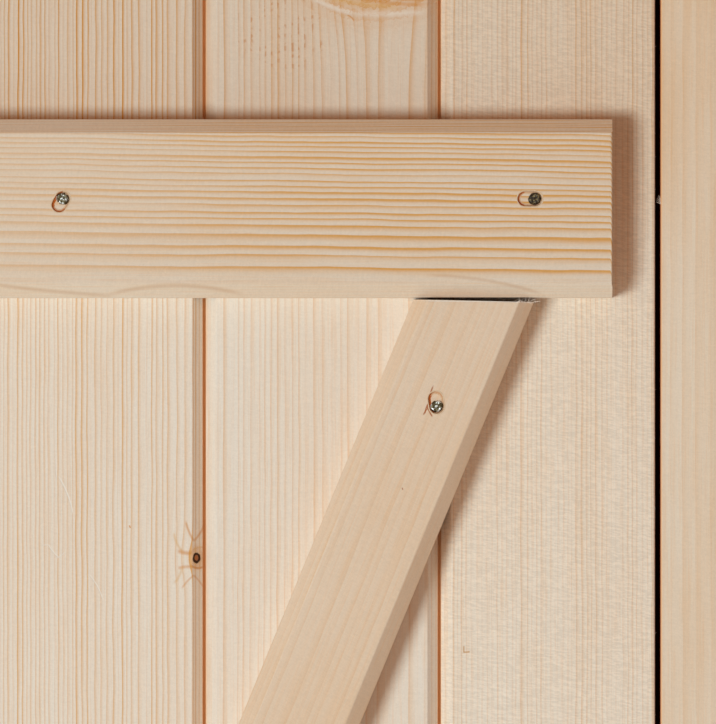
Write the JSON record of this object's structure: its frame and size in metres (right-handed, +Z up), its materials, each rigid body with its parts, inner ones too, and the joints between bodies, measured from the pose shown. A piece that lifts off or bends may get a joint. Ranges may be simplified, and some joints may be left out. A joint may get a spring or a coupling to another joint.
{
  "type": "barn door",
  "caption": "Ledged and braced boarded barn door hung on hook and band hinges in its timber frame, with bow handles and a sliding bolt.",
  "frame": {"origin": "middle of the sill's underside, half way through the frame's depth", "axes": "+X from the hinge side to the latch side, +Y from the ledge side to the smooth side, +Z up"},
  "size_m": [0.9086, 0.1361, 2.058],
  "materials": {
    "board_pine": "raw planed pine with V joints",
    "ledge_pine": "raw planed pine, grain across the leaf",
    "brace_pine": "raw planed pine, grain along the brace",
    "frame_pine": "raw planed pine",
    "nail_steel": "bright wire with an olive lacquer",
    "brad_steel": "bright wire",
    "black_iron": "satin black",
    "black_fixings": "satin black",
    "bolt_steel": "plated steel"
  },
  "bodies": {
    "frame": {"jamb_hinge_side": "frame_pine", "jamb_latch_side": "frame_pine", "head": "frame_pine", "sill": "frame_pine", "stop_hinge_side": "frame_pine", "stop_latch_side": "frame_pine", "stop_head": "frame_pine", "stop_brads": "brad_steel", "hook_bottom": "black_iron", "hook_top": "black_iron", "hook_screws": "black_fixings", "bolt_keeper": "black_iron", "keeper_screws": "black_fixings"},
    "leaf": {"board_1": "board_pine", "board_2": "board_pine", "board_3": "board_pine", "board_4": "board_pine", "board_5": "board_pine", "board_6": "board_pine", "board_7": "board_pine", "board_8": "board_pine", "board_9": "board_pine", "ledge_top": "ledge_pine", "ledge_bottom": "ledge_pine", "brace": "brace_pine", "ledge_nails": "nail_steel", "brace_nails": "nail_steel", "face_brads": "brad_steel", "band_top": "black_iron", "band_bottom": "black_iron", "band_screws": "black_fixings", "hinge_bolts": "black_fixings", "hinge_washers": "black_fixings", "hinge_nuts": "black_fixings", "handle_front": "black_iron", "handle_back": "black_iron", "handle_screws": "black_fixings", "bolt_plate": "black_iron", "bolt_screws": "black_fixings"},
    "sliding_bolt": {"bolt_rod": "bolt_steel"}
  },
  "joints": [
    {"name": "leaf_hinge", "type": "hinge", "parent": "frame", "child": "leaf", "pos_m": [-0.4323, -0.07805, 1.0205], "axis": [0, 0, -1], "range_deg": [0, 180]},
    {"name": "bolt_slide", "type": "slide", "parent": "leaf", "child": "sliding_bolt", "axis": [1, 0, 0], "range_m": [0, 0.032]}
  ]
}
